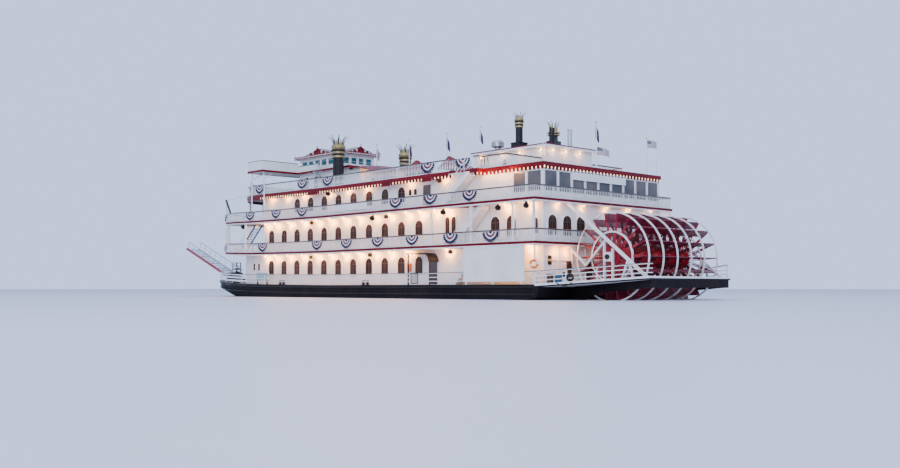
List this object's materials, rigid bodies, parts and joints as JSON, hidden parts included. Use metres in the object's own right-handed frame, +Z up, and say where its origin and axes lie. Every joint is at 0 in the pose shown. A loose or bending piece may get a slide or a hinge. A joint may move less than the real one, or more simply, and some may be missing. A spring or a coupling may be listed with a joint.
{
  "type": "stern-wheel excursion paddle steamer, 1:2 scale model",
  "caption": "Three-decked stern-wheel river excursion steamer on a flat-bottomed hull, with chimneys, pilothouse, balustraded decks and landing stages; 1:2 scale model.",
  "frame": {"origin": "centre of the bounding box in plan, at the flat bottom of the hull", "axes": "+X forward to the bow, +Y to port, +Z up"},
  "size_m": [37.5268, 9.75, 9.625],
  "materials": {
    "white_paint": "satin white marine paint",
    "red_paint": "satin crimson paint",
    "black_paint": "semi-gloss black paint",
    "grey_metal": "weathered galvanised steel",
    "gold_paint": "gilded metal",
    "varnished_wood": "dark varnished wood",
    "window_glass": "dark tinted window glass",
    "lamp_glass": "warm frosted bulb glass",
    "bunting_cloth": "woven cotton in red, white and blue",
    "deck_covering": "matt non-slip deck paint",
    "canvas": "white painted canvas"
  },
  "bodies": {
    "boat": {"hull": "black_paint", "main_deck": "white_paint", "second_deck": "red_paint", "third_deck": "red_paint", "roof_deck": "red_paint", "main_deck_stair_port": "white_paint", "main_deck_stair_starboard": "white_paint", "second_deck_stair_port": "white_paint", "second_deck_stair_starboard": "white_paint", "third_deck_stair_port": "white_paint", "third_deck_stair_starboard": "white_paint", "foredeck_stair_port": "white_paint", "foredeck_stair_starboard": "white_paint", "main_deck_house": "white_paint", "second_deck_house": "white_paint", "third_deck_house": "white_paint", "stern_board": "white_paint", "second_deck_rail": "white_paint", "third_deck_rail": "white_paint", "roof_rail_starboard": "white_paint", "roof_rail_forward": "white_paint", "roof_rail_port": "white_paint", "main_deck_rail_starboard": "white_paint", "main_deck_rail_port": "white_paint", "name_board_port": "white_paint", "name_board_starboard": "white_paint", "boarding_awning_port": "black_paint", "boarding_awning_starboard": "black_paint", "fantail_truss_port": "white_paint", "fantail_truss_starboard": "white_paint", "engine_block": "grey_metal", "texas_house": "white_paint", "bridge_deck": "red_paint", "bridge_rail": "white_paint", "pilothouse": "white_paint", "pilothouse_roof": "red_paint", "chimney_port": "black_paint", "chimney_starboard": "black_paint", "stern_house": "white_paint", "stern_house_roof": "red_paint", "stern_stack": "black_paint", "roof_vent": "grey_metal", "exhaust_pipes": "grey_metal", "steam_organ": "gold_paint", "vent_house_fore": "white_paint", "vent_house_aft": "white_paint", "flag_staff_aft": "white_paint", "stern_staff": "white_paint", "quarter_staff": "white_paint"},
    "paddle_wheel": {"paddle_wheel": "red_paint", "wheel_shaft": "grey_metal"},
    "landing_stage_port": {"landing_stage_port": "red_paint"},
    "landing_stage_starboard": {"landing_stage_starboard": "red_paint"},
    "rudder_port": {"rudder_port": "black_paint"},
    "rudder_starboard": {"rudder_starboard": "black_paint"},
    "main_deck_door_port": {"main_deck_door_port": "varnished_wood"},
    "main_deck_door_starboard": {"main_deck_door_starboard": "varnished_wood"},
    "third_deck_door_port": {"third_deck_door_port": "varnished_wood"},
    "third_deck_door_starboard": {"third_deck_door_starboard": "varnished_wood"}
  },
  "joints": [
    {"name": "wheel_spin", "type": "hinge", "parent": "boat", "child": "paddle_wheel", "pos_m": [-16.5984, 0, 2.525], "axis": [0, 1, 0], "continuous": true},
    {"name": "stage_lift_port", "type": "hinge", "parent": "boat", "child": "landing_stage_port", "pos_m": [12.9866, 2.5, 1.86], "axis": [0, -1, 0], "range_deg": [-16.5, 13]},
    {"name": "stage_lift_starboard", "type": "hinge", "parent": "boat", "child": "landing_stage_starboard", "pos_m": [12.9866, -2.5, 1.86], "axis": [0, -1, 0], "range_deg": [-16.5, 13]},
    {"name": "rudder_steer_port", "type": "hinge", "parent": "boat", "child": "rudder_port", "pos_m": [-13.5634, 1.7, 0.3], "axis": [0, 0, 1], "range_deg": [-35, 35]},
    {"name": "rudder_steer_starboard", "type": "hinge", "parent": "boat", "child": "rudder_starboard", "pos_m": [-13.5634, -1.7, 0.3], "axis": [0, 0, 1], "range_deg": [-35, 35]},
    {"name": "main_door_swing_port", "type": "hinge", "parent": "boat", "child": "main_deck_door_port", "pos_m": [-7.2134, 4.1223, 1.95], "axis": [0, 0, -1], "range_deg": [0, 110]},
    {"name": "main_door_swing_starboard", "type": "hinge", "parent": "boat", "child": "main_deck_door_starboard", "pos_m": [-7.2134, -4.1223, 1.95], "axis": [0, 0, 1], "range_deg": [0, 110]},
    {"name": "third_door_swing_port", "type": "hinge", "parent": "boat", "child": "third_deck_door_port", "pos_m": [-6.7384, 4.1223, 5.56], "axis": [0, 0, -1], "range_deg": [0, 110]},
    {"name": "third_door_swing_starboard", "type": "hinge", "parent": "boat", "child": "third_deck_door_starboard", "pos_m": [-6.7384, -4.1223, 5.56], "axis": [0, 0, 1], "range_deg": [0, 110]}
  ],
  "couplings": [
    {"joint": "rudder_steer_starboard", "follows": "rudder_steer_port", "ratio": 1}
  ]
}
